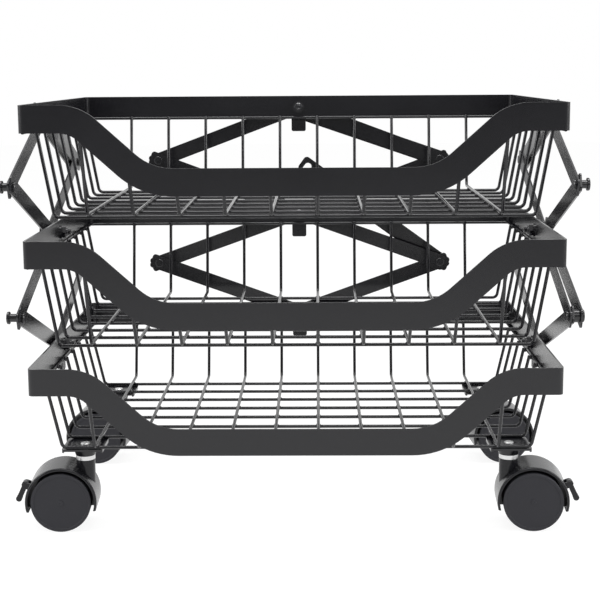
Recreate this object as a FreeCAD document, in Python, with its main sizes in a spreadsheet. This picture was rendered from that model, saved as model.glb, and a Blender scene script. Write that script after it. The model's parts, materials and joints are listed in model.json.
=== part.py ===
"""Folding rolling cart, folded down, in millimetres.

Three wire baskets with strap-steel rims stand one above the other. Diamond linkages on the left, right and
rear join them, and a hooked strap on each linkage locks it open. Four twin-wheel casters carry the bottom
basket. Frame: X to the right, Y to the rear, Z up, origin on the floor under the middle of the whole cart.
"""
import FreeCAD, Part
import math
import os
import Sketcher
from types import SimpleNamespace

from FreeCAD import Placement, Rotation, Vector

SIZES = {
    # Rim band of each basket, with the dip in its front
    "rim_width": 450.0,
    "rim_depth": 320.0,
    "rim_height": 23.0,
    "rim_gauge": 1.5,
    "rim_corner": 5.0,
    "dip_depth": 52.0,
    "dip_start": 33.0,
    "dip_angle": 42.0,
    "dip_upper_bend": 35.5,
    "dip_lower_bend": 57.0,
    # Wire baskets: depth is from the rim's top to the middle of the cross wires on the floor
    "basket_depth": 96.5,
    "bottom_basket_depth": 80.0,
    "wire_diameter": 3.0,
    "wire_bend": 5.0,
    "weld_gap": 0.05,
    "ring_drop": 1.0,
    "long_wire_count": 10,
    "long_wire_pitch": 39.0,
    "cross_wire_count": 8,
    "cross_wire_pitch": 33.4,
    "side_wall_inset": 13.4,
    "front_wall_inset": 30.0,
    "rear_wall_inset": 14.0,
    # Diamond linkages: rise is from one rim to the next as the cart stands folded
    "lower_rise": 108.0,
    "upper_rise": 112.0,
    "open_angle": 57.0,
    "arm_length": 160.0,
    "arm_width": 15.0,
    "arm_overhang": 9.2,
    "arm_corner": 3.0,
    "arm_gauge": 1.5,
    "arm_standoff": 1.8,
    "layer_gap": 0.3,
    "running_clearance": 0.05,
    # Pivot tabs and shouldered screws on the rims, with lock nuts inside the band
    "tab_width": 15.0,
    "tab_rise": 7.5,
    "tab_drop": 14.0,
    "tab_corner": 2.0,
    "tab_gauge": 1.5,
    "pivot_diameter": 6.0,
    "washer_diameter": 12.5,
    "washer_height": 1.2,
    "nut_width": 10.0,
    "nut_height": 4.2,
    "nut_collar_diameter": 8.4,
    "nut_collar_height": 1.8,
    "screw_cap_diameter": 11.0,
    "screw_cap_height": 1.6,
    # Knee rivets, which end in the headed studs that carry and catch the straps
    "rivet_diameter": 5.0,
    "rivet_head_diameter": 8.5,
    "rivet_head_height": 1.8,
    "stud_diameter": 7.0,
    "stud_head_diameter": 10.7,
    "stud_head_height": 2.0,
    "sleeve_diameter": 11.0,
    "head_chamfer": 0.5,
    # Locking straps
    "strap_width": 17.0,
    "strap_overhang": 8.5,
    "strap_corner": 4.0,
    "strap_gauge": 1.5,
    "strap_lift": 16.2,
    "strap_droop": 1.5,
    "notch_clearance": 0.3,
    # Caster plates and stems under the bottom basket
    "caster_inset": 17.0,
    "plate_width": 36.0,
    "plate_margin": 2.0,
    "plate_corner": 3.0,
    "plate_gauge": 2.0,
    "plate_edge": 1.2,
    "plate_hole_diameter": 2.2,
    "plate_hole_offset": 5.6,
    "boss_height": 7.5,
    "boss_top_diameter": 22.0,
    "boss_foot_diameter": 17.4,
    "stem_diameter": 7.0,
    "stem_head_diameter": 8.4,
    "stem_head_height": 1.2,
    "collar_diameter": 17.0,
    "collar_height": 3.7,
    # Hoods, wheels and brake levers
    "wheel_diameter": 53.0,
    "wheel_width": 16.0,
    "wheel_shoulder": 1.2,
    "wheel_dish": 0.4,
    "wheel_dish_rim": 2.0,
    "wheel_side_gap": 0.5,
    "wheel_wall": 3.5,
    "axle_diameter": 6.0,
    "web_thickness": 8.0,
    "hood_clearance": 2.7,
    "hood_gauge": 2.3,
    "hood_width": 40.6,
    "hood_wrap": 14.5,
    "hood_edge": 1.6,
    "trail": 21.0,
    "front_toe": 3.5,
    "rear_toe": 5.0,
    "post_diameter": 16.6,
    "post_rise": 3.0,
    "lever_width": 6.5,
    "lever_barrel": 6.4,
    "lever_angle": 20.0,
    "lever_standoff": 0.6,
    "lever_reach": 14.0,
    "lever_slope": 65.0,
    "lever_thickness": 4.6,
    "lever_tip": 5.4,
    "lever_pin": 3.0,
    "lug_thickness": 1.6,
    "lug_wall": 1.3,
    "lug_gap": 0.3,
}
TIERS = ("bottom", "middle", "top")
LEVELS = ("lower", "upper")
SIDES = ("left", "right", "rear")
# The two knees of each linkage, named by the end of the cart that they point to
KNEE_NAMES = {
    "left": {-1: "rear", 1: "front"},
    "right": {-1: "front", 1: "rear"},
    "rear": {-1: "right", 1: "left"},
}
# The knee that each locking strap turns on
STRAP_KNEES = {
    ("lower", "left"): -1,
    ("lower", "right"): -1,
    ("lower", "rear"): -1,
    ("upper", "left"): -1,
    ("upper", "right"): 1,
    ("upper", "rear"): -1,
}
# One strap was left standing up, clear of its arm
LIFTED_STRAP = ("lower", "rear")
CASTERS = {
    "front_left": (-1, -1),
    "front_right": (1, -1),
    "rear_left": (-1, 1),
    "rear_right": (1, 1),
}
BRAKED = ("front_left", "front_right")
LAYERS_PER_LEVEL = 2
SHORTEST_EDGE = 1e-6
UP = Vector(0, 0, 1)

doc = FreeCAD.newDocument("rolling_cart")
nodes = {}


def fill_sheet():
    """Put every driving dimension in the sheet under its own name, and read it back."""
    sheet = doc.addObject("Spreadsheet::Sheet", "Sizes")
    for row, (name, value) in enumerate(SIZES.items(), start=1):
        sheet.set(f"A{row}", name)
        sheet.set(f"B{row}", str(value))
        sheet.setAlias(f"B{row}", name)
    doc.recompute()
    return SimpleNamespace(**{name: getattr(sheet, name) for name in SIZES})


size = fill_sheet()


# Shared shapes

def rounded_path(corners, closed=False):
    """Straight runs joined by tangent arcs. Each corner is a point with its bend radius."""
    count = len(corners)
    trimmed = []
    for i, (point, radius) in enumerate(corners):
        is_end = not closed and i in (0, count - 1)
        if radius == 0 or is_end:
            trimmed.append((point, point, None))
            continue
        back = (corners[i - 1][0] - point).normalize()
        ahead = (corners[(i + 1) % count][0] - point).normalize()
        half_angle = back.getAngle(ahead) / 2
        setback = radius / math.tan(half_angle)
        inset = radius / math.sin(half_angle) - radius
        start = point + back * setback
        end = point + ahead * setback
        middle = point + (back + ahead).normalize() * inset
        trimmed.append((start, end, Part.Arc(start, middle, end)))
    pieces = []
    for i, (start, end, arc) in enumerate(trimmed):
        if arc:
            pieces.append(arc)
        if i == count - 1 and not closed:
            break
        following = trimmed[(i + 1) % count][0]
        if end.distanceToPoint(following) > SHORTEST_EDGE:
            pieces.append(Part.LineSegment(end, following))
    return pieces


def rounded_box(x_low, x_high, y_low, y_high, radius):
    """A rectangle with round corners, anticlockwise."""
    points = ((x_low, y_low), (x_high, y_low), (x_high, y_high), (x_low, y_high))
    return rounded_path([(Vector(x, y, 0), radius) for x, y in points], closed=True)


def polygon(points):
    """A closed outline of straight lines."""
    return rounded_path([(Vector(x, y, 0), 0) for x, y in points], closed=True)


def hexagon_outline(across_flats):
    """A hexagon about the middle, with two of its corners on X."""
    corner = across_flats / math.sqrt(3)
    turns = [math.radians(60 * i) for i in range(6)]
    return polygon([(corner * math.cos(turn), corner * math.sin(turn)) for turn in turns])


def new_body(label):
    body = doc.addObject("PartDesign::Body", label)
    body.Label = label
    return body


def new_sketch(body, plane, outline, lift=0.0):
    """A sketch on one of the body's own planes, moved along its normal by lift."""
    sketch = body.newObject("Sketcher::SketchObject", "outline")
    planes = {feature.Role: feature for feature in body.Origin.OriginFeatures}
    sketch.AttachmentSupport = [(planes[plane], "")]
    sketch.MapMode = "FlatFace"
    sketch.AttachmentOffset = Placement(Vector(0, 0, lift), Rotation())
    sketch.addGeometry(outline, False)
    return sketch


def add_hole(sketch, x, y, radius_rule, radius):
    """A round hole in a sketch, its radius bound to the sheet."""
    circle = sketch.addGeometry(Part.Circle(Vector(x, y, 0), UP, radius), False)
    constraint = sketch.addConstraint(Sketcher.Constraint("Radius", circle, radius))
    sketch.setExpression(f"Constraints[{constraint}]", radius_rule)


def add_pad(body, sketch, length_rule, both_ways=False, backwards=False):
    pad = body.newObject("PartDesign::Pad", "pad")
    pad.Profile = sketch
    pad.setExpression("Length", length_rule)
    if both_ways:
        pad.SideType = "Symmetric"
    pad.Reversed = backwards
    return pad


def cut_through(body, sketch, both_ways=False, backwards=False):
    """A pocket right through the body, checked to have removed metal."""
    doc.recompute()
    before = body.Shape.Volume
    pocket = body.newObject("PartDesign::Pocket", "pocket")
    pocket.Profile = sketch
    pocket.Type = "ThroughAll"
    if both_ways:
        pocket.SideType = "Symmetric"
    pocket.Reversed = backwards
    doc.recompute()
    if not body.Shape.Volume < before:
        raise ValueError(f"{body.Label}: a pocket cut nothing")
    return pocket


def turned(label, profile):
    """A turned piece: its half profile, radius and height, revolved about Z."""
    body = new_body(label)
    sketch = new_sketch(body, "XZ_Plane", polygon(profile))
    spin = body.newObject("PartDesign::Revolution", "spin")
    spin.Profile = sketch
    spin.ReferenceAxis = (sketch, ["V_Axis"])
    spin.Angle = 360
    return body


def stepped_profile(steps):
    """Half profile of a shaft of steps, each a bottom, a top and a radius, with headed ends chamfered."""
    chamfer = size.head_chamfer
    points = [(0, steps[0][0])]
    last = len(steps) - 1
    for i, (bottom, top, radius) in enumerate(steps):
        if i == 0:
            points += [(radius - chamfer, bottom), (radius, bottom + chamfer)]
        else:
            points.append((radius, bottom))
        if i == last:
            points += [(radius, top - chamfer), (radius - chamfer, top)]
        else:
            points.append((radius, top))
    points.append((0, steps[-1][1]))
    return points


def swept_wire(label, corners):
    """A round wire bent along a path."""
    edges = [piece.toShape() for piece in rounded_path(corners)]
    path = doc.addObject("Part::Feature", label + "_path")
    path.Shape = Part.Wire(edges)
    start, following = corners[0][0], corners[1][0]
    section = doc.addObject("Part::Circle", label + "_section")
    section.setExpression("Radius", "Sizes.wire_diameter / 2")
    section.Placement = Placement(start, Rotation(UP, following - start))
    sweep = doc.addObject("Part::Sweep", label)
    sweep.Sections = [section]
    sweep.Spine = (path, [f"Edge{i + 1}" for i in range(len(edges))])
    sweep.Solid = True
    return sweep


def add_node(label, pieces):
    """A named sub-part: one object, or a group of separate pieces."""
    if len(pieces) == 1:
        node = pieces[0]
    else:
        node = doc.addObject("Part::Compound", label)
        node.Links = pieces
    node.Label = label
    nodes[label] = node


# Heights and offsets that follow from the driving sizes

wire_radius = size.wire_diameter / 2
wheel_radius = size.wheel_diameter / 2
hood_inner = wheel_radius + size.hood_clearance
hood_outer = hood_inner + size.hood_gauge
post_top = wheel_radius + hood_outer + size.post_rise
boss_foot = post_top + size.layer_gap + size.collar_height
plate_top = boss_foot + size.boss_height + size.plate_gauge
bottom_floor = plate_top + size.weld_gap + wire_radius
depths = dict(zip(TIERS, (size.bottom_basket_depth, size.basket_depth, size.basket_depth)))
bottom_rim = bottom_floor + size.bottom_basket_depth
middle_rim = bottom_rim + size.lower_rise
rim_tops = dict(zip(TIERS, (bottom_rim, middle_rim, middle_rim + size.upper_rise)))
pivot_drop = size.rim_height / 2

# Offsets outward from the rim's face: tab, four layers of arms, screw caps, then the two planes of straps
layer_pitch = size.arm_gauge + size.layer_gap
first_arm = size.tab_gauge + size.arm_standoff + size.layer_gap
arm_layers = [first_arm + i * layer_pitch for i in range(2 * LAYERS_PER_LEVEL + 1)]
first_strap = arm_layers[-1] + size.screw_cap_height + size.layer_gap
strap_pitch = size.strap_gauge + size.layer_gap
strap_planes = dict(zip(LEVELS, (first_strap, first_strap + strap_pitch)))
stack_height = strap_planes["upper"] + strap_pitch + size.stud_head_height

# The rear linkage stands out behind the rims, so the baskets sit forward of the cart's middle
basket_y = -stack_height / 2
pivot_radius = size.pivot_diameter / 2
rivet_radius = size.rivet_diameter / 2
stud_radius = size.stud_diameter / 2


def on_side(side, along, height, outward, turn=0.0):
    """Where a flat piece goes on a side: its X along the side, its Y up and its Z outward, then turned."""
    half_width, half_depth = size.rim_width / 2, size.rim_depth / 2
    faces = {
        "left": (Vector(-half_width, basket_y, 0), Vector(0, -1, 0), Vector(-1, 0, 0)),
        "right": (Vector(half_width, basket_y, 0), Vector(0, 1, 0), Vector(1, 0, 0)),
        "rear": (Vector(0, basket_y + half_depth, 0), Vector(-1, 0, 0), Vector(0, 1, 0)),
    }
    middle, sideways, normal = faces[side]
    spot = middle + sideways * along + UP * height + normal * outward
    return Placement(spot, Rotation(sideways, UP, normal, "ZXY") * Rotation(UP, turn))


# Baskets

def dip_line(x):
    """Height of the front band's middle line at x, below the rim's top, with its bends left sharp."""
    angle = math.radians(size.dip_angle)
    upper_corner = size.rim_width / 2 - size.dip_start - size.dip_upper_bend * math.tan(angle / 2)
    drop = (upper_corner - abs(x)) * math.tan(angle)
    return -pivot_drop - min(max(drop, 0.0), size.dip_depth)


def dipped_front():
    """Outline of the front of the rim: a strap of even width that runs down into the dip and up again."""
    angle = math.radians(size.dip_angle)
    half_band = size.rim_height / 2
    upper = size.rim_width / 2 - size.dip_start - size.dip_upper_bend * math.tan(angle / 2)
    lower = upper - size.dip_depth / math.tan(angle)
    end = size.rim_width / 2 - size.dip_start
    edges = {}
    for edge in (1, -1):
        shift = edge * half_band
        inward = shift * math.tan(angle / 2)
        top = shift - pivot_drop
        edges[edge] = [
            (end, top, 0),
            (upper - inward, top, size.dip_upper_bend + shift),
            (lower - inward, top - size.dip_depth, size.dip_lower_bend - shift),
        ]
    corners = []
    for edge in (1, -1):
        right_half = edges[edge]
        left_half = [(-x, z, radius) for x, z, radius in reversed(right_half)]
        whole = right_half + left_half
        corners += whole if edge == 1 else whole[::-1]
    return rounded_path([(Vector(x, z, 0), radius) for x, z, radius in corners], closed=True)


def wrapped_sides():
    """Plan of the rest of the rim: one strap round the left, rear and right, with the front corners."""
    half_width, half_depth = size.rim_width / 2, size.rim_depth / 2
    end = half_width - size.dip_start
    gauge = size.rim_gauge
    outer = [(-half_width, -half_depth), (-half_width, half_depth)]
    outer += [(half_width, half_depth), (half_width, -half_depth)]
    inner = [(x - math.copysign(gauge, x), y - math.copysign(gauge, y)) for x, y in outer]
    corners = [(-end, -half_depth, 0)]
    corners += [(x, y, size.rim_corner) for x, y in outer]
    corners += [(end, -half_depth, 0), (end, -half_depth + gauge, 0)]
    corners += [(x, y, size.rim_corner - gauge) for x, y in reversed(inner)]
    corners.append((-end, -half_depth + gauge, 0))
    return rounded_path([(Vector(x, y, 0), radius) for x, y, radius in corners], closed=True)


def make_rim(tier):
    """One strap-steel band round the basket, with a screw hole in the left, right and rear."""
    label = f"{tier}_rim"
    body = new_body(label)
    add_pad(body, new_sketch(body, "XY_Plane", wrapped_sides()), "Sizes.rim_height", backwards=True)
    front = new_sketch(body, "XZ_Plane", dipped_front(), lift=size.rim_depth / 2)
    add_pad(body, front, "Sizes.rim_gauge", backwards=True)
    for plane in ("YZ_Plane", "XZ_Plane"):
        sketch = new_sketch(body, plane, [])
        hole_rule = "Sizes.pivot_diameter / 2 + Sizes.running_clearance"
        add_hole(sketch, 0, -pivot_drop, hole_rule, pivot_radius + size.running_clearance)
        cut_through(body, sketch, both_ways=True)
    body.Placement = Placement(Vector(0, basket_y, rim_tops[tier]), Rotation())
    add_node(label, [body])


def spread(count, pitch):
    """Places of evenly pitched wires about the middle."""
    return [(i - (count - 1) / 2) * pitch for i in range(int(count))]


# The ring wire lies inside the band, and the basket's wires end on the ring
ring_inset = size.rim_gauge + size.weld_gap + wire_radius
ring_height = -size.rim_height - size.ring_drop + wire_radius
wire_inset = ring_inset + size.wire_diameter + size.weld_gap
wire_end = ring_height + wire_radius
floor_half_width = size.rim_width / 2 - wire_inset - size.side_wall_inset


def make_long_wires(tier):
    """Wires bent in a U from the front band, along the floor and up to the rear ring."""
    label = f"{tier}_long_wires"
    rim_top = rim_tops[tier]
    floor = rim_top - depths[tier] + size.wire_diameter + size.weld_gap
    front = basket_y - size.rim_depth / 2 + ring_inset
    rear = basket_y + size.rim_depth / 2 - wire_inset
    wires = []
    for i, x in enumerate(spread(size.long_wire_count, size.long_wire_pitch), start=1):
        corners = [
            (Vector(x, front, rim_top + dip_line(x)), 0),
            (Vector(x, front + size.front_wall_inset, floor), size.wire_bend),
            (Vector(x, rear - size.rear_wall_inset, floor), size.wire_bend),
            (Vector(x, rear, rim_top + wire_end), 0),
        ]
        wires.append(swept_wire(f"{label}_{i}", corners))
    add_node(label, wires)


def make_cross_wires(tier):
    """Wires bent in a U from side to side under the long wires, and the ring inside the band's lower edge."""
    label = f"{tier}_cross_wires"
    rim_top = rim_tops[tier]
    floor = rim_top - depths[tier]
    wall_top = size.rim_width / 2 - wire_inset
    wires = []
    for i, y in enumerate(spread(size.cross_wire_count, size.cross_wire_pitch), start=1):
        corners = [
            (Vector(-wall_top, basket_y + y, rim_top + wire_end), 0),
            (Vector(-floor_half_width, basket_y + y, floor), size.wire_bend),
            (Vector(floor_half_width, basket_y + y, floor), size.wire_bend),
            (Vector(wall_top, basket_y + y, rim_top + wire_end), 0),
        ]
        wires.append(swept_wire(f"{label}_{i}", corners))
    ring_x = size.rim_width / 2 - ring_inset
    ring_rear = basket_y + size.rim_depth / 2 - ring_inset
    ring_front = basket_y - size.rim_depth / 2 + size.rim_corner
    ring = [
        (Vector(-ring_x, ring_front, rim_top + ring_height), 0),
        (Vector(-ring_x, ring_rear, rim_top + ring_height), size.wire_bend),
        (Vector(ring_x, ring_rear, rim_top + ring_height), size.wire_bend),
        (Vector(ring_x, ring_front, rim_top + ring_height), 0),
    ]
    wires.append(swept_wire(f"{label}_ring", ring))
    add_node(label, wires)


def make_tabs(tier):
    """Plates behind the band at the three pivots, each hanging below it."""
    label = f"{tier}_pivot_tabs"
    half = size.tab_width / 2
    tabs = []
    for side in SIDES:
        body = new_body(f"{label}_{side}")
        outline = rounded_box(-half, half, -pivot_drop - size.tab_drop, size.tab_rise, size.tab_corner)
        sketch = new_sketch(body, "XY_Plane", outline)
        hole_rule = "Sizes.pivot_diameter / 2 + Sizes.running_clearance"
        add_hole(sketch, 0, 0, hole_rule, pivot_radius + size.running_clearance)
        add_pad(body, sketch, "Sizes.tab_gauge")
        body.Placement = on_side(side, 0, rim_tops[tier] - pivot_drop, 0)
        tabs.append(body)
    add_node(label, tabs)


def make_screws(tier):
    """Shouldered pivot screws: washer and lock nut inside the band, cap outside the arms on that tier."""
    label = f"{tier}_pivot_screws"
    cap_radius = size.screw_cap_diameter / 2
    band_back = -size.rim_gauge
    nut_top = band_back - size.washer_height
    nut_floor = nut_top - size.nut_height
    cap_floor = arm_layers[LAYERS_PER_LEVEL if tier == "bottom" else -1]
    steps = [
        (nut_floor - size.nut_collar_height, nut_floor, size.nut_collar_diameter / 2),
        (nut_floor, nut_top, size.nut_collar_diameter / 2),
        (nut_top, band_back, size.washer_diameter / 2),
    ]
    shoulder_top = arm_layers[LAYERS_PER_LEVEL if tier == "top" else 0] - size.layer_gap
    steps += [
        (band_back, size.tab_gauge, pivot_radius),
        (size.tab_gauge, shoulder_top, cap_radius),
        (shoulder_top, cap_floor, pivot_radius),
        (cap_floor, cap_floor + size.screw_cap_height, cap_radius),
    ]
    screws = []
    for side in SIDES:
        screw = turned(f"{label}_{side}", stepped_profile(steps))
        hexagon = new_sketch(screw, "XY_Plane", hexagon_outline(size.nut_width), lift=nut_floor)
        add_pad(screw, hexagon, "Sizes.nut_height")
        screw.Placement = on_side(side, 0, rim_tops[tier] - pivot_drop, 0)
        screws.append(screw)
    add_node(label, screws)


# Linkages

def make_strip(label):
    """A flat arm with a pivot hole at its tier's end and a rivet hole at its knee."""
    body = new_body(label)
    half = size.arm_width / 2
    reach = size.arm_length + size.arm_overhang
    outline = rounded_box(-size.arm_overhang, reach, -half, half, size.arm_corner)
    sketch = new_sketch(body, "XY_Plane", outline)
    clearance = size.running_clearance
    add_hole(sketch, 0, 0, "Sizes.pivot_diameter / 2 + Sizes.running_clearance", pivot_radius + clearance)
    knee_rule = "Sizes.rivet_diameter / 2 + Sizes.running_clearance"
    add_hole(sketch, size.arm_length, 0, knee_rule, rivet_radius + clearance)
    add_pad(body, sketch, "Sizes.arm_gauge")
    return body


def knee_profile(level, carries_strap):
    """A knee rivet: head inside the arms, shank through them, then the headed stud of the strap."""
    first = LEVELS.index(level) * LAYERS_PER_LEVEL
    head_top = arm_layers[first] - size.layer_gap
    arms_top = arm_layers[first + LAYERS_PER_LEVEL]
    strap_floor = strap_planes[level] - size.layer_gap
    stud_top = strap_planes[level] + strap_pitch
    steps = [
        (head_top - size.rivet_head_height, head_top, size.rivet_head_diameter / 2),
        (head_top, arms_top, rivet_radius),
    ]
    if carries_strap:
        steps += [(arms_top, strap_floor, size.sleeve_diameter / 2), (strap_floor, stud_top, stud_radius)]
    else:
        steps.append((arms_top, stud_top, stud_radius))
    steps.append((stud_top, stud_top + size.stud_head_height, size.stud_head_diameter / 2))
    return stepped_profile(steps)


def make_strap(level, side, knee, knee_spot, rest_angle):
    """A locking strap: a hole on its knee's stud, and a notch that drops over the other stud when open."""
    label = f"{level}_{side}_lock_strap"
    body = new_body(label)
    reach = 2 * size.arm_length * math.cos(math.radians(size.open_angle))
    notch = stud_radius + size.notch_clearance
    half = size.strap_width / 2
    overhang, corner = size.strap_overhang, size.strap_corner
    outline = [
        (-overhang, half, corner),
        (-overhang, -half, corner),
        (reach - notch, -half, 0),
        (reach - notch, notch, notch),
        (reach + notch, notch, notch),
        (reach + notch, -half, 0),
        (reach + overhang, -half, corner),
        (reach + overhang, half, corner),
    ]
    # The notch opens downwards once the strap lies level between the knees
    flip = -knee
    corners = [(Vector(x, flip * y, 0), radius) for x, y, radius in outline]
    sketch = new_sketch(body, "XY_Plane", rounded_path(corners, closed=True))
    hole_rule = "Sizes.stud_diameter / 2 + Sizes.running_clearance"
    add_hole(sketch, 0, 0, hole_rule, stud_radius + size.running_clearance)
    add_pad(body, sketch, "Sizes.strap_gauge")
    along, height = knee_spot
    body.Placement = on_side(side, along, height, strap_planes[level], rest_angle)
    add_node(label, [body])


def make_linkage(level, side):
    """Four arms in a diamond between two tiers, with their knee rivets and the locking strap."""
    index = LEVELS.index(level)
    low_pivot = rim_tops[TIERS[index]] - pivot_drop
    high_pivot = rim_tops[TIERS[index + 1]] - pivot_drop
    rise = high_pivot - low_pivot
    angle = math.degrees(math.asin(rise / (2 * size.arm_length)))
    knee_reach = size.arm_length * math.cos(math.radians(angle))
    strap_knee = STRAP_KNEES[level, side]
    for knee in (-1, 1):
        knee_spot = (knee * knee_reach, low_pivot + rise / 2)
        facing = 0 if knee == 1 else 180
        lower_layer = index * LAYERS_PER_LEVEL + (0 if knee == 1 else 1)
        upper_layer = index * LAYERS_PER_LEVEL + (1 if knee == 1 else 0)
        name = f"{level}_{side}_{{}}_{KNEE_NAMES[side][knee]}_arm"
        lower_label, upper_label = name.format("bottom"), name.format("top")
        lower_arm = make_strip(lower_label)
        lower_arm.Placement = on_side(side, 0, low_pivot, arm_layers[lower_layer], facing + knee * angle)
        add_node(lower_label, [lower_arm])
        upper_arm = make_strip(upper_label + "_strip")
        upper_arm.Placement = on_side(side, 0, high_pivot, arm_layers[upper_layer], facing - knee * angle)
        rivet = turned(upper_label + "_rivet", knee_profile(level, knee == strap_knee))
        rivet.Placement = on_side(side, *knee_spot, 0)
        add_node(upper_label, [upper_arm, rivet])
        if knee == strap_knee:
            lift = size.strap_lift if (level, side) == LIFTED_STRAP else -size.strap_droop
            toward_pivot = 180 - facing - knee * (angle + lift)
            make_strap(level, side, knee, knee_spot, toward_pivot)


# Casters

def caster_spot(name):
    """Place of a caster's stem, and the way its wheels trail."""
    across, along = CASTERS[name]
    outer_wire = (size.cross_wire_count - 1) / 2 * size.cross_wire_pitch
    x = across * (floor_half_width - size.caster_inset)
    y = basket_y + along * (outer_wire - size.cross_wire_pitch / 2)
    return Vector(x, y, 0), across


def make_plate(label):
    """A stamped plate under two cross wires, its sides turned down, with a tapered boss for the stem."""
    body = new_body(label)
    half_width = size.plate_width / 2
    half_depth = size.cross_wire_pitch / 2 + size.plate_margin
    gauge = size.plate_gauge
    tray = rounded_box(-half_width, half_width, -half_depth, half_depth, size.plate_corner)
    add_pad(body, new_sketch(body, "XY_Plane", tray), "Sizes.plate_gauge + Sizes.plate_edge", backwards=True)
    past_end = half_depth + gauge
    channel = polygon([
        (gauge - half_width, -past_end),
        (half_width - gauge, -past_end),
        (half_width - gauge, past_end),
        (gauge - half_width, past_end),
    ])
    cut_through(body, new_sketch(body, "XY_Plane", channel, lift=-gauge))
    boss = new_sketch(body, "XZ_Plane", polygon([
        (0, -gauge),
        (size.boss_top_diameter / 2, -gauge),
        (size.boss_foot_diameter / 2, -gauge - size.boss_height),
        (0, -gauge - size.boss_height),
    ]))
    spin = body.newObject("PartDesign::Revolution", "boss")
    spin.Profile = boss
    spin.ReferenceAxis = (boss, ["V_Axis"])
    spin.Angle = 360
    holes = new_sketch(body, "XY_Plane", [])
    stem_rule = "Sizes.stem_diameter / 2 + Sizes.running_clearance"
    add_hole(holes, 0, 0, stem_rule, size.stem_diameter / 2 + size.running_clearance)
    add_hole(holes, size.plate_hole_offset, 0, "Sizes.plate_hole_diameter / 2", size.plate_hole_diameter / 2)
    cut_through(body, holes)
    return body


def make_plates_and_stems():
    """The four caster plates, and the shouldered stems swaged over them."""
    bore_floor = post_bore_floor()
    stem_radius = size.stem_diameter / 2
    steps = [
        (wheel_radius + bore_floor + size.layer_gap, boss_foot - size.collar_height, stem_radius),
        (boss_foot - size.collar_height, boss_foot, size.collar_diameter / 2),
        (boss_foot, plate_top, stem_radius),
        (plate_top, plate_top + size.stem_head_height, size.stem_head_diameter / 2),
    ]
    plates, stems = [], []
    for name in CASTERS:
        spot, across = caster_spot(name)
        plate = make_plate(f"{name}_caster_plate")
        outward = Rotation(UP, 0 if across == 1 else 180)
        plate.Placement = Placement(spot + UP * plate_top, outward)
        stem = turned(f"{name}_caster_stem", stepped_profile(steps))
        stem.Placement = Placement(spot, Rotation())
        plates.append(plate)
        stems.append(stem)
    add_node("caster_plates", plates)
    add_node("caster_stems", stems)


def post_bore_floor():
    """Floor of the stem's bore above the axle: it stays clear of the wheels' hollow."""
    bore_radius = size.stem_diameter / 2 + size.running_clearance
    nearest = size.trail - bore_radius
    return math.sqrt(max(hood_inner ** 2 - nearest ** 2, 0)) + size.hood_gauge / 2


def drum_outline():
    """Side of the hood: a round drum that wraps past the axle's height and ends in two tips."""
    wrap = math.radians(size.hood_wrap)
    tip_x, tip_z = hood_outer * math.cos(wrap), -hood_outer * math.sin(wrap)
    right_tip, left_tip = Vector(tip_x, tip_z, 0), Vector(-tip_x, tip_z, 0)
    return [Part.Arc(right_tip, Vector(0, hood_outer, 0), left_tip), Part.LineSegment(left_tip, right_tip)]


def lever_pivot():
    """Pivot of the brake lever, just outside the hood's round back, seen from the axle."""
    angle = math.radians(size.lever_angle)
    radius = hood_outer + size.lever_standoff + size.lever_barrel / 2
    return Vector(radius * math.cos(angle), radius * math.sin(angle), 0)


def capsule(start, end, radius):
    """A bar with round ends between two points."""
    along = (end - start).normalize()
    across = Vector(-along.y, along.x, 0) * radius
    far_side, near_side = (start + across, end + across), (start - across, end - across)
    return [
        Part.LineSegment(near_side[0], near_side[1]),
        Part.Arc(near_side[1], end + along * radius, far_side[1]),
        Part.LineSegment(far_side[1], far_side[0]),
        Part.Arc(far_side[0], start - along * radius, near_side[0]),
    ]


def make_hood(name):
    """A moulded hood: round back over both wheels, centre web for the axle, and a post bored for the stem."""
    label = f"{name}_caster_hood"
    body = new_body(label)
    add_pad(body, new_sketch(body, "XZ_Plane", drum_outline()), "Sizes.hood_width", both_ways=True)
    doc.recompute()
    drum = body.Tip
    edges = enumerate(drum.Shape.Edges, start=1)
    arcs = [f"Edge{i}" for i, edge in edges if isinstance(edge.Curve, Part.Circle)]
    rounded = body.newObject("PartDesign::Fillet", "rounded_edges")
    rounded.Base = (drum, arcs)
    rounded.setExpression("Radius", "Sizes.hood_edge")
    post = new_sketch(body, "XY_Plane", [])
    add_hole(post, -size.trail, 0, "Sizes.post_diameter / 2", size.post_diameter / 2)
    post_height = "Sizes.wheel_diameter / 2 + Sizes.hood_clearance + Sizes.hood_gauge + Sizes.post_rise"
    add_pad(body, post, post_height)
    if name in BRAKED:
        add_lugs(body)
    for way in (1, -1):
        hollow = new_sketch(body, "XZ_Plane", [], lift=way * size.web_thickness / 2)
        hollow_rule = "Sizes.wheel_diameter / 2 + Sizes.hood_clearance"
        add_hole(hollow, 0, 0, hollow_rule, hood_inner)
        cut_through(body, hollow, backwards=way == 1)
    axle = new_sketch(body, "XZ_Plane", [])
    clearance = size.running_clearance
    axle_rule = "Sizes.axle_diameter / 2 + Sizes.running_clearance"
    add_hole(axle, 0, 0, axle_rule, size.axle_diameter / 2 + clearance)
    cut_through(body, axle, both_ways=True)
    bore = new_sketch(body, "XY_Plane", [], lift=post_bore_floor())
    stem_rule = "Sizes.stem_diameter / 2 + Sizes.running_clearance"
    add_hole(bore, -size.trail, 0, stem_rule, size.stem_diameter / 2 + clearance)
    cut_through(body, bore, backwards=True)
    body.Placement = caster_placement(name)
    add_node(label, [body])


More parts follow.
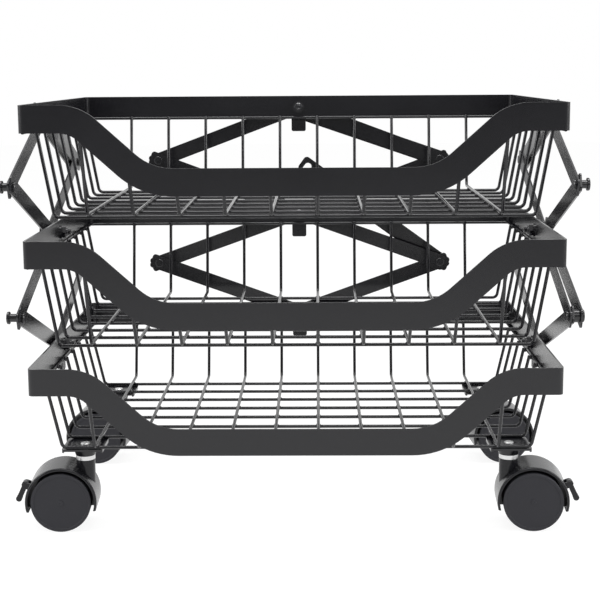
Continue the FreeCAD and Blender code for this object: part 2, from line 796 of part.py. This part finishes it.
def add_lugs(body):
    """Two ears on the hood's round back that carry the brake lever's pin."""
    pivot = lever_pivot()
    root = Vector(pivot).normalize() * (hood_outer - size.hood_gauge / 2)
    wall = size.lever_pin / 2 + size.lug_wall
    inner_face = size.lever_width / 2 + size.lug_gap
    for way in (1, -1):
        ear = new_sketch(body, "XZ_Plane", capsule(root, pivot, wall), lift=way * inner_face)
        pin_rule = "Sizes.lever_pin / 2 + Sizes.running_clearance"
        add_hole(ear, pivot.x, pivot.y, pin_rule, size.lever_pin / 2 + size.running_clearance)
        add_pad(body, ear, "Sizes.lug_thickness", backwards=way == -1)


def caster_placement(name):
    """Place of a caster's moving pieces: at the axle, with X the way that the wheels trail."""
    spot, across = caster_spot(name)
    facing = 0 if across == 1 else 180
    toe = -across * size.front_toe if name in BRAKED else across * size.rear_toe
    turn = Rotation(UP, facing + toe)
    return Placement(spot + turn.multVec(Vector(size.trail, 0, wheel_radius)), turn)


def wheel_outline():
    """Half section of one wheel: tread, round shoulders, and a shallow dish in the outer face."""
    bore = size.axle_diameter / 2 + size.running_clearance
    inner_face = size.web_thickness / 2 + size.wheel_side_gap
    outer_face = inner_face + size.wheel_width
    blind_end = outer_face - size.wheel_wall
    dish_radius = wheel_radius - size.wheel_shoulder - size.wheel_dish_rim
    dish_floor = outer_face - size.wheel_dish
    corners = [
        (0, blind_end, 0),
        (bore, blind_end, 0),
        (bore, inner_face, 0),
        (wheel_radius, inner_face, size.wheel_shoulder / 2),
        (wheel_radius, outer_face, size.wheel_shoulder),
        (dish_radius + size.wheel_dish, outer_face, 0),
        (dish_radius, dish_floor, 0),
        (0, dish_floor, 0),
    ]
    return rounded_path([(Vector(x, y, 0), radius) for x, y, radius in corners], closed=True)


def make_wheels(name):
    """Two wheels on one axle."""
    label = f"{name}_caster_wheels"
    place = caster_placement(name)
    pieces = []
    for turn in (0, 180):
        wheel = new_body(f"{label}_{turn}")
        sketch = new_sketch(wheel, "XY_Plane", wheel_outline())
        spin = wheel.newObject("PartDesign::Revolution", "spin")
        spin.Profile = sketch
        spin.ReferenceAxis = (sketch, ["V_Axis"])
        spin.Angle = 360
        wheel.Placement = place * Placement(Vector(), Rotation(UP, turn))
        pieces.append(wheel)
    wall_inside = size.web_thickness / 2 + size.wheel_side_gap + size.wheel_width - size.wheel_wall
    half_length = wall_inside - size.layer_gap
    axle = doc.addObject("Part::Cylinder", f"{label}_axle")
    axle.setExpression("Radius", "Sizes.axle_diameter / 2")
    axle.Height = 2 * half_length
    axle.Placement = place * Placement(Vector(0, half_length, 0), Rotation(UP, Vector(0, -1, 0)))
    pieces.append(axle)
    add_node(label, pieces)


def make_lever(name):
    """A brake lever: a barrel between the ears, its pin, and a pedal that ends in a round bead."""
    label = f"{name}_brake_lever"
    body = new_body(label)
    pivot = lever_pivot()
    slope = math.radians(size.lever_slope)
    tip = pivot + Vector(math.cos(slope), -math.sin(slope), 0) * size.lever_reach
    barrel = new_sketch(body, "XZ_Plane", [])
    add_hole(barrel, pivot.x, pivot.y, "Sizes.lever_barrel / 2", size.lever_barrel / 2)
    add_pad(body, barrel, "Sizes.lever_width", both_ways=True)
    pedal = new_sketch(body, "XZ_Plane", capsule(pivot, tip, size.lever_thickness / 2))
    add_pad(body, pedal, "Sizes.lever_width", both_ways=True)
    bead = new_sketch(body, "XZ_Plane", [])
    add_hole(bead, tip.x, tip.y, "Sizes.lever_tip / 2", size.lever_tip / 2)
    add_pad(body, bead, "Sizes.lever_width", both_ways=True)
    pin = new_sketch(body, "XZ_Plane", [])
    add_hole(pin, pivot.x, pivot.y, "Sizes.lever_pin / 2", size.lever_pin / 2)
    add_pad(body, pin, "Sizes.lever_width + 2 * (Sizes.lug_gap + Sizes.lug_thickness)", both_ways=True)
    body.Placement = caster_placement(name)
    add_node(label, [body])


def check_and_write():
    """Stop at any failed feature or bad shape, then write every sub-part."""
    doc.recompute()
    for thing in doc.Objects:
        if {"Invalid", "Error"} & set(thing.State):
            raise ValueError(f"{thing.Label}: {thing.State}")
    for label, node in nodes.items():
        if node.Shape.isNull() or not node.Shape.isValid() or not node.Shape.Solids:
            raise ValueError(f"{label}: bad shape")
    os.makedirs("parts", exist_ok=True)
    for label, node in nodes.items():
        node.Shape.exportStep(f"parts/{label}.step")


for tier_name in TIERS:
    make_rim(tier_name)
    make_long_wires(tier_name)
    make_cross_wires(tier_name)
    make_tabs(tier_name)
    make_screws(tier_name)
for level_name in LEVELS:
    for side_name in SIDES:
        make_linkage(level_name, side_name)
make_plates_and_stems()
for caster_name in CASTERS:
    make_hood(caster_name)
    make_wheels(caster_name)
for caster_name in BRAKED:
    make_lever(caster_name)
check_and_write()
print(f"{len(nodes)} sub-parts; rims at {[round(top, 2) for top in rim_tops.values()]}")
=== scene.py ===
# %% [markdown]
# # A folding rolling cart, dressed
# The cart stands folded down: wire baskets one above the other, flat arms between them and casters below.
# Its solids come ready made and in place, so this lesson is about finishes, small worked pieces, light
# and camera.

# %% Load the cart
import json
import math

import bpy
from mathutils import Matrix, Vector


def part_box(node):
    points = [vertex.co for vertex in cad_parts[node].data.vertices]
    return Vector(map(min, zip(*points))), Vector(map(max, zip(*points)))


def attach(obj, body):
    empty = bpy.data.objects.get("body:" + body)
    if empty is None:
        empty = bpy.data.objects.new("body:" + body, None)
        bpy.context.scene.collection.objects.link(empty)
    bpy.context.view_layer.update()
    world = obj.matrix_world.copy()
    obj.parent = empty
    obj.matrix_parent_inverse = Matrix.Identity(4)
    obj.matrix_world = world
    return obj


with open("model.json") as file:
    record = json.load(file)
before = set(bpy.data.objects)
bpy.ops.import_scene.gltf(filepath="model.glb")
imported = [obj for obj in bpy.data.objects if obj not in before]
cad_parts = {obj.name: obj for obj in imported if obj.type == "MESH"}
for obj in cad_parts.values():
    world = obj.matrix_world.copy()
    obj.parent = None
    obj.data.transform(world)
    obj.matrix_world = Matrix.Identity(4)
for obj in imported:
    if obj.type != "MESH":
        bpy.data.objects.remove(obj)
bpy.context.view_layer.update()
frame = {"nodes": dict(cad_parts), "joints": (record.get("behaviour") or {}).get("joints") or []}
nodes = frame["nodes"]
scene = bpy.context.scene

# %% [markdown]
# ## Shader maths as plain sums
# A finish is a little formula: a colour that drifts, a roughness that wanders, a fine bump. Node trees
# hide such sums in boxes and wires. A small class that wraps a socket lets the sums be written as sums,
# and adds the Math nodes itself. Any other node comes from one method, which takes its type, its settings
# and its inputs.

# %% A socket that can be added and multiplied
class Wire:
    """An output socket that can stand in a sum."""

    def __init__(self, owner, socket):
        self.owner = owner
        self.socket = socket

    def maths(self, operation, first, second):
        return self.owner.node("ShaderNodeMath", {"operation": operation}, {0: first, 1: second})

    def __add__(self, other):
        return self.maths("ADD", self, other)

    def __radd__(self, other):
        return self.maths("ADD", other, self)

    def __sub__(self, other):
        return self.maths("SUBTRACT", self, other)

    def __rsub__(self, other):
        return self.maths("SUBTRACT", other, self)

    def __mul__(self, other):
        return self.maths("MULTIPLY", self, other)

    def __rmul__(self, other):
        return self.maths("MULTIPLY", other, self)

    def __pow__(self, other):
        return self.maths("POWER", self, other)


class Tree:
    """A node tree, and a way to add any node to it."""

    def __init__(self, tree):
        self.tree = tree

    def node(self, kind, settings, inputs, output=0):
        made = self.tree.nodes.new(kind)
        for setting, value in settings.items():
            setattr(made, setting, value)
        for socket, value in inputs.items():
            self.feed(made.inputs[socket], value)
        return Wire(self, made.outputs[output])

    def feed(self, socket, value):
        if isinstance(value, Wire):
            self.tree.links.new(value.socket, socket)
        else:
            socket.default_value = value

    def vectors(self, operation, first, second, output=0):
        return self.node("ShaderNodeVectorMath", {"operation": operation}, {0: first, 1: second}, output)

    def ray(self, kind):
        """1 for rays of this kind, 0 for all others."""
        return self.node("ShaderNodeLightPath", {}, {}, f"Is {kind} Ray")


class Finish(Tree):
    """One material with its Principled shader."""

    def __init__(self, name, **constants):
        self.material = bpy.data.materials.new(name)
        self.material.use_nodes = True
        super().__init__(self.material.node_tree)
        self.shader = self.tree.nodes["Principled BSDF"]
        for socket, value in constants.items():
            self.shader.inputs[socket.replace("_", " ")].default_value = value

    def drive(self, **sockets):
        for socket, value in sockets.items():
            self.feed(self.shader.inputs[socket.replace("_", " ")], value)

    def place(self):
        return self.node("ShaderNodeTexCoord", {}, {}, "Object")

    def noise(self, size, detail):
        """Cloudy noise with features about this many metres across, from 0 to 1."""
        inputs = {"Vector": self.place(), "Scale": 1 / size, "Detail": detail}
        return self.node("ShaderNodeTexNoise", {}, inputs, "Fac")

    def mix(self, amount, first, second):
        """A colour between two colours, which a Mix node takes at inputs 6 and 7 and gives at output 2."""
        return self.node("ShaderNodeMix", {"data_type": "RGBA"}, {0: amount, 6: first, 7: second}, 2)

    def bump(self, height, depth):
        """A normal tilted by a height map, its full range this many metres deep."""
        inputs = {"Height": height, "Distance": depth, "Strength": 1.0}
        return self.node("ShaderNodeBump", {}, inputs, "Normal")


def grey(level, blue=0.0):
    """A grey of this level, with this share more blue."""
    return (level, level, level * (1 + blue), 1.0)


print("shader helpers ready")

# %% [markdown]
# ## Satin black powder coat
# The rims, wires and arms are one finish: powder baked to a satin black skin. It is not quite even.
# Powder gathers a little thicker in places, which shows as an orange-peel dimple of about a millimetre
# and a slow drift of sheen. A flat black would lose every edge, so the base is a dark grey, a touch cool,
# and the roughness wanders by a few hundredths.

# %% Powder coat
MM = 0.001


def powder_coat(name, level, rough, peel_depth, shine):
    coat = Finish(name, Metallic=0.0, Specular_IOR_Level=shine)
    drift = coat.noise(60 * MM, 3.0)
    speck = coat.noise(0.9 * MM, 1.0)
    peel = coat.noise(1.6 * MM, 2.0)
    thin, thick = grey(level * 0.75, blue=0.3), grey(level * 1.3, blue=0.3)
    coat.drive(
        Base_Color=coat.mix(0.55 * drift + 0.35 * speck, thin, thick),
        Roughness=rough - 0.06 + 0.12 * drift,
        Normal=coat.bump(0.7 * peel + 0.3 * speck, peel_depth),
    )
    return coat.material


strap_black = powder_coat("strap_black", level=0.006, rough=0.24, peel_depth=0.010 * MM, shine=0.5)
wire_black = powder_coat("wire_black", level=0.006, rough=0.17, peel_depth=0.006 * MM, shine=0.5)
arm_black = powder_coat("arm_black", level=0.006, rough=0.22, peel_depth=0.010 * MM, shine=0.6)
fastener_black = powder_coat("fastener_black", level=0.008, rough=0.15, peel_depth=0.005 * MM, shine=1.0)
print("powder coats:", strap_black.name, wire_black.name, arm_black.name, fastener_black.name)

# %% [markdown]
# ## Moulded black plastic
# Hoods and levers come out of a spark-eroded mould, so their skin has a fine even grain and a soft sheen.
# The wheels are a harder, slightly greyer plastic, with the faint rings of the mould's lathe work. The
# rings are worked out from the distance to each wheel's own axle, so each caster gets its own material.

# %% Plastics
def moulded_plastic(name, level):
    plastic = Finish(name, Specular_IOR_Level=0.33)
    grain = plastic.noise(0.7 * MM, 1.0)
    drift = plastic.noise(20 * MM, 2.0)
    plastic.drive(
        Base_Color=plastic.mix(drift, grey(level * 0.8, blue=0.2), grey(level * 1.2, blue=0.2)),
        Roughness=0.17 + 0.08 * drift,
        Normal=plastic.bump(grain, 0.02 * MM),
    )
    return plastic.material


RING_PITCH = 1.1 * MM


def wheel_plastic(name, middle, axle, level):
    plastic = Finish(name, Specular_IOR_Level=0.3)
    offset = plastic.vectors("SUBTRACT", plastic.place(), tuple(middle))
    across = plastic.vectors("CROSS_PRODUCT", offset, tuple(axle))
    radius = plastic.vectors("LENGTH", across, (0.0, 0.0, 0.0), "Value")
    rings = plastic.node("ShaderNodeMath", {"operation": "SINE"}, {0: radius * (2 * math.pi / RING_PITCH)})
    dust = plastic.noise(8 * MM, 4.0)
    dark, pale = grey(level * 0.85, blue=0.2), grey(level * 1.2, blue=0.2)
    plastic.drive(
        Base_Color=plastic.mix(0.3 + 0.5 * dust + 0.04 * rings, dark, pale),
        Roughness=0.5 + 0.12 * dust + 0.02 * rings,
        Normal=plastic.bump(0.5 + 0.5 * rings, 0.012 * MM),
    )
    return plastic.material


hood_black = moulded_plastic("hood_black", level=0.010)
print("plastics:", hood_black.name)

# %% [markdown]
# ## Bright zinc
# The stems are plated steel: bright, a little cloudy, with the small crystals of the zinc in the sheen.

# %% Zinc plate
def zinc_plate(name):
    zinc = Finish(name, Metallic=1.0)
    crystal = zinc.noise(2.5 * MM, 3.0)
    zinc.drive(
        Base_Color=zinc.mix(crystal, grey(0.62), grey(0.8)),
        Roughness=0.2 + 0.2 * crystal,
    )
    return zinc.material


bright_zinc = zinc_plate("bright_zinc")
print("plating:", bright_zinc.name)

# %% [markdown]
# ## A finish for every solid
# The solids keep their shape. Each one gets the finish of what it is made of, told from its name.

# %% Dress the solids
WHEEL_LEVEL = 0.022


def middle_of(node):
    low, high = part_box(node)
    return (Vector(low) + Vector(high)) / 2


def axle_of(wheels):
    roll = wheels.replace("_caster_wheels", "_roll")
    joint = next(joint for joint in frame["joints"] if joint["name"] == roll)
    return Vector(joint["axis"]).normalized()


def finish_for(name):
    if name.endswith("caster_stems"):
        return bright_zinc
    if name.endswith("caster_wheels"):
        return wheel_plastic(name + "_grey", middle_of(name), axle_of(name), WHEEL_LEVEL)
    if name.endswith(("caster_hood", "brake_lever")):
        return hood_black
    if name.endswith("_wires"):
        return wire_black
    if name.endswith("_screws"):
        return fastener_black
    if name.endswith(("_arm", "_strap")):
        return arm_black
    return strap_black


for name, solid in nodes.items():
    solid.data.materials.clear()
    solid.data.materials.append(finish_for(name))
print(len(nodes), "solids dressed")

# %% [markdown]
# ## Spot welds
# The baskets are wire mats, spot welded at every crossing, on the ring wire and behind the front band. A
# weld squeezes a small cushion of metal out between the two wires. It could be left out, but close to it
# shows that the wires are one basket and not a pile. One cushion is shaped from a cube: cut once, cast
# towards a ball, then squeezed where it is used. There are hundreds, so it has two dozen faces.

# %% One weld
def start_piece(name, add_primitive, **sizes):
    bpy.ops.object.select_all(action="DESELECT")
    add_primitive(**sizes)
    piece = bpy.context.object
    piece.name = name
    return piece


def apply_modifier(piece, kind, **settings):
    modifier = piece.modifiers.new(kind.lower(), kind)
    for setting, value in settings.items():
        setattr(modifier, setting, value)
    bpy.ops.object.modifier_apply(modifier=modifier.name)


weld = start_piece("weld", bpy.ops.mesh.primitive_cube_add, size=1.0)
bpy.ops.object.mode_set(mode="EDIT")
bpy.ops.mesh.subdivide(number_cuts=1)
bpy.ops.object.mode_set(mode="OBJECT")
apply_modifier(weld, "CAST", cast_type="SPHERE", factor=0.8)
bpy.ops.object.shade_smooth()
print("weld faces:", len(weld.data.polygons))

# %% [markdown]
# ## Welds where the wires touch
# The places follow the wires' own pitch, counted from the middle of each basket. Behind the front band
# the wire ends stand higher or lower with the dip, so there the top of each wire is looked up in the
# wires' mesh.

# %% Welds on each basket
TIERS = ("bottom", "middle", "top")
LONG_PITCH, CROSS_PITCH = 39.0 * MM, 33.4 * MM
LONG_X = [(i - 4.5) * LONG_PITCH for i in range(10)]
WIRE = 3.0 * MM
RING_BELOW_TOP, RING_INSIDE = 22.5 * MM, 4.7 * MM
END_BELOW_TIP, END_INSIDE = 5.0 * MM, 1.7 * MM
CROSSING_WELD = Vector((3.6, 3.6, 1.7)) * MM
REAR_WELD = Vector((3.4, 1.8, 3.6)) * MM
SIDE_WELD = Vector((1.8, 3.4, 3.6)) * MM
END_WELD = Vector((4.2, 1.6, 8.0)) * MM


def place_copies(name, master, places, finish, body):
    """Copy the master to each place, given as a middle, a turn and a size, and join the copies."""
    copies = []
    for middle, turn, sizes in places:
        copy = bpy.data.objects.new(name, master.data.copy())
        scene.collection.objects.link(copy)
        copy.matrix_world = Matrix.LocRotScale(middle, turn, sizes)
        copies.append(copy)
    bpy.ops.object.select_all(action="DESELECT")
    for copy in copies:
        copy.select_set(True)
    bpy.context.view_layer.objects.active = copies[0]
    bpy.context.view_layer.update()
    bpy.ops.object.join()
    bpy.ops.object.transform_apply(location=True, rotation=True, scale=True)
    piece = bpy.context.object
    piece.name = name
    piece.data.materials.clear()
    piece.data.materials.append(finish)
    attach(piece, body)
    return piece


def front_tip(wires, x, band_y):
    """The height of one long wire's front tip, close behind the band."""
    points = [vertex.co for vertex in nodes[wires].data.vertices]
    return max(p.z for p in points if abs(p.x - x) < WIRE and p.y - band_y < 3 * WIRE)


for tier in TIERS:
    low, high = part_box(f"{tier}_rim")
    rim_y, rim_top = (low[1] + high[1]) / 2, high[2]
    cross_low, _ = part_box(f"{tier}_cross_wires")
    touch = cross_low[2] + WIRE
    cross_y = [rim_y + (j - 3.5) * CROSS_PITCH for j in range(8)]
    ring = rim_top - RING_BELOW_TOP
    places = [(Vector((x, y, touch)), None, CROSSING_WELD) for x in LONG_X for y in cross_y]
    places += [(Vector((x, high[1] - RING_INSIDE, ring)), None, REAR_WELD) for x in LONG_X]
    for x in (low[0] + RING_INSIDE, high[0] - RING_INSIDE):
        places += [(Vector((x, y, ring)), None, SIDE_WELD) for y in cross_y]
    for x in LONG_X:
        tip = front_tip(f"{tier}_long_wires", x, low[1])
        places.append((Vector((x, low[1] + END_INSIDE, tip - END_BELOW_TIP)), None, END_WELD))
    welds = place_copies(f"{tier}_welds", weld, places, wire_black, f"{tier}_basket")
    print(welds.name, len(places), "welds,", len(welds.data.polygons), "faces")
bpy.data.objects.remove(weld)

# %% [markdown]
# ## Screw ends
# Each pivot screw comes through its lock nut by a few turns of thread. Spinning a tooth round would give
# a true helix; at this size rings look the same and stay light, so a round end is drawn out ridge by
# ridge and dimpled.

# %% One screw end
THREAD_RADIUS, RIDGE, RIDGES = 2.9 * MM, 0.28 * MM, 4
ROOT_SHARE, TIP_SHARE = 0.9, 0.78


def top_face(piece):
    """Go into edit mode with only the highest flat face selected."""
    bpy.ops.object.mode_set(mode="EDIT")
    bpy.ops.mesh.select_all(action="DESELECT")
    bpy.ops.object.mode_set(mode="OBJECT")
    max(piece.data.polygons, key=lambda face: face.center.z).select = True
    bpy.ops.object.mode_set(mode="EDIT")
    bpy.ops.mesh.select_mode(type="FACE")


add_cylinder = bpy.ops.mesh.primitive_cylinder_add
screw_end = start_piece("screw_end", add_cylinder, vertices=24, radius=THREAD_RADIUS, depth=1.0 * MM)
top_face(screw_end)
for ridge in range(2 * RIDGES):
    squeeze = ROOT_SHARE if ridge % 2 == 0 else 1 / ROOT_SHARE
    bpy.ops.mesh.extrude_region_move(TRANSFORM_OT_translate={"value": (0.0, 0.0, RIDGE)})
    bpy.ops.transform.resize(value=(squeeze, squeeze, 1.0))
bpy.ops.mesh.extrude_region_move(TRANSFORM_OT_translate={"value": (0.0, 0.0, RIDGE)})
bpy.ops.transform.resize(value=(TIP_SHARE, TIP_SHARE, 1.0))
bpy.ops.mesh.inset(thickness=0.7 * MM, depth=0.0)
bpy.ops.mesh.inset(thickness=0.3 * MM, depth=-0.3 * MM)
bpy.ops.object.mode_set(mode="OBJECT")
bpy.ops.object.shade_smooth_by_angle(angle=math.radians(40))
print("screw end", [round(v * 1000, 2) for v in screw_end.dimensions], "mm")

# %% Screw ends in the lock nuts
NUT_DEPTH, SUNK = 8.7 * MM, 0.6 * MM
PIVOT_BELOW_TOP = 11.5 * MM
INWARD = (Vector((1, 0, 0)), Vector((-1, 0, 0)), Vector((0, -1, 0)))
FULL_SIZE = Vector((1, 1, 1))
for tier in TIERS:
    low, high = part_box(f"{tier}_rim")
    middle = (Vector(low) + Vector(high)) / 2
    half = (Vector(high) - Vector(low)) / 2
    pivot_z = high[2] - PIVOT_BELOW_TOP
    places = []
    for inward in INWARD:
        wall = Vector((middle.x - inward.x * half.x, middle.y - inward.y * half.y, pivot_z))
        turn = inward.to_track_quat("Z", "Y")
        places.append((wall + inward * (NUT_DEPTH - SUNK), turn, FULL_SIZE))
    ends = place_copies(f"{tier}_screw_ends", screw_end, places, fastener_black, f"{tier}_basket")
    print(ends.name, len(places), "ends")
bpy.data.objects.remove(screw_end)

# %% [markdown]
# ## Hub plugs
# A small plug closes each wheel's axle hole. It shows as a dot in the middle of the plain wheel face. A
# flat cylinder is domed by two insets and carries the tiny dimple of its moulding gate.

# %% One hub plug
plug = start_piece("plug", add_cylinder, vertices=32, radius=2.6 * MM, depth=0.6 * MM)
top_face(plug)
bpy.ops.mesh.inset(thickness=0.5 * MM, depth=0.25 * MM)
bpy.ops.mesh.inset(thickness=0.9 * MM, depth=0.12 * MM)
bpy.ops.mesh.inset(thickness=0.35 * MM, depth=-0.2 * MM)
bpy.ops.object.mode_set(mode="OBJECT")
bpy.ops.object.shade_smooth_by_angle(angle=math.radians(40))
print("plug", [round(v * 1000, 2) for v in plug.dimensions], "mm")

# %% Two hub plugs on each caster
WHEEL_FACE = 20.1 * MM
for caster in ("front_left", "front_right", "rear_left", "rear_right"):
    wheels = f"{caster}_caster_wheels"
    axle = axle_of(wheels)
    places = []
    for out in (axle, -axle):
        places.append((middle_of(wheels) + out * WHEEL_FACE, out.to_track_quat("Z", "Y"), FULL_SIZE))
    plugs = place_copies(f"{caster}_hub_plugs", plug, places, nodes[wheels].data.materials[0], wheels)
    print(plugs.name, [round(v, 4) for v in middle_of(wheels)])
bpy.data.objects.remove(plug)

# %% [markdown]
# ## White room
# The cart was photographed cut out on white. The world is white where the camera or a reflection sees it,
# and an even soft grey as a light, so colours stay as they are written. The unlit side of the studio,
# behind the camera, mirrors darker, which keeps the front bands black.

# %% World
LIGHT = 0.5
UNLIT = 0.8
scene.view_settings.view_transform = "Standard"
world = bpy.data.worlds.new("white_room")
scene.world = world
world.use_nodes = True
room = Tree(world.node_tree)
way = room.node("ShaderNodeTexCoord", {}, {}, "Generated")
to_front = room.vectors("DOT_PRODUCT", way, (0.0, -1.0, 0.0), "Value")
front = room.node("ShaderNodeMath", {"operation": "MAXIMUM"}, {0: to_front, 1: 0.0})
seen = (1 - LIGHT) * (room.ray("Camera") + room.ray("Transmission"))
mirrored = room.ray("Glossy") * (1 - LIGHT - UNLIT * front)
backdrop = world.node_tree.nodes["Background"]
backdrop.inputs["Color"].default_value = grey(1.0)
room.feed(backdrop.inputs["Strength"], LIGHT + seen + mirrored)
print("white room ready")

# %% [markdown]
# ## Pale floor
# The cart stands on a pale sheet. A plain pale floor would come out grey in the picture, so most of what
# the camera sees of it glows white and the rest keeps the cart's soft shadow. In reflections only the
# sheet close to the cart is as bright; further off it fades into the plain floor.

# %% Floor
SHEET_REACH = 1.1
GLOW_SHARE, GLOW_STRENGTH = 0.8, 1.12
bpy.ops.object.select_all(action="DESELECT")
bpy.ops.mesh.primitive_plane_add(size=12.0, location=(0.0, 0.0, -0.0005))
floor = bpy.context.object
floor.name = "floor"
pale = Finish("pale_floor", Base_Color=grey(0.86), Roughness=0.9)
reach = pale.vectors("LENGTH", pale.place(), (0.0, 0.0, 0.0), "Value")
near = (1 + (reach * (1 / SHEET_REACH)) ** 4) ** -1
seen = pale.ray("Camera") + near * (pale.ray("Transmission") + pale.ray("Glossy"))
plain = Wire(pale, pale.shader.outputs[0])
glow = pale.node("ShaderNodeEmission", {}, {"Color": grey(1.0), "Strength": GLOW_STRENGTH})
blend = pale.node("ShaderNodeMixShader", {}, {0: GLOW_SHARE * seen, 1: plain, 2: glow})
pale.tree.links.new(blend.socket, pale.tree.nodes["Material Output"].inputs["Surface"])
floor.data.materials.append(pale.material)
print("floor ready")

# %% [markdown]
# ## Soft studio light
# Four wide panels, one overhead, one high at the front and one to each side, give the rims their soft
# grey sheen and draw a light line along the top of every wire. Small lamps would do it too, but with hard
# shadows.

# %% Lamps
CART_MIDDLE = Vector((0.0, 0.0, 0.2))


def soft_panel(name, spot, width, height, power):
    lamp = bpy.data.lights.new(name, "AREA")
    lamp.shape = "RECTANGLE"
    lamp.size = width
    lamp.size_y = height
    lamp.energy = power
    holder = bpy.data.objects.new(name, lamp)
    scene.collection.objects.link(holder)
    holder.location = spot
    holder.rotation_euler = (CART_MIDDLE - Vector(spot)).to_track_quat("-Z", "Y").to_euler()
    print(name, power, "W")


soft_panel("top_panel", spot=(0.0, -0.1, 1.7), width=1.4, height=0.5, power=19.0)
soft_panel("front_panel", spot=(0.3, -2.0, 1.5), width=1.4, height=0.7, power=8.0)
soft_panel("left_panel", spot=(-1.5, -0.5, 0.9), width=0.5, height=1.0, power=14.0)
soft_panel("right_panel", spot=(1.5, -0.5, 0.9), width=0.5, height=1.0, power=14.0)

# %% [markdown]
# ## Camera
# The photograph looks a little down on the cart from the front, from about a metre and a quarter away.
# Its place, turn and lens were worked out from the corners of the rims. The picture was cropped a little
# low, which a small shift gives.

# %% Camera
IMAGE_SIDE = 600.0
FOCAL_PIXELS = 1307.9
CAMERA_SPOT = (0.0192, -1.23685, 0.4033)
PITCH, YAW, ROLL = 0.1534, 0.0135, -0.0063
CROP_SHIFT = -0.047
camera_data = bpy.data.cameras.new("camera")
camera_data.sensor_width = 36.0
camera_data.lens = FOCAL_PIXELS * camera_data.sensor_width / IMAGE_SIDE
camera_data.shift_y = CROP_SHIFT
camera_data.clip_end = 50.0
camera = bpy.data.objects.new("camera", camera_data)
scene.collection.objects.link(camera)
camera.matrix_world = (
    Matrix.Translation(CAMERA_SPOT)
    @ Matrix.Rotation(YAW, 4, "Z")
    @ Matrix.Rotation(math.pi / 2 - PITCH, 4, "X")
    @ Matrix.Rotation(ROLL, 4, "Z")
)
scene.camera = camera
print("lens", round(camera_data.lens, 2), "mm")
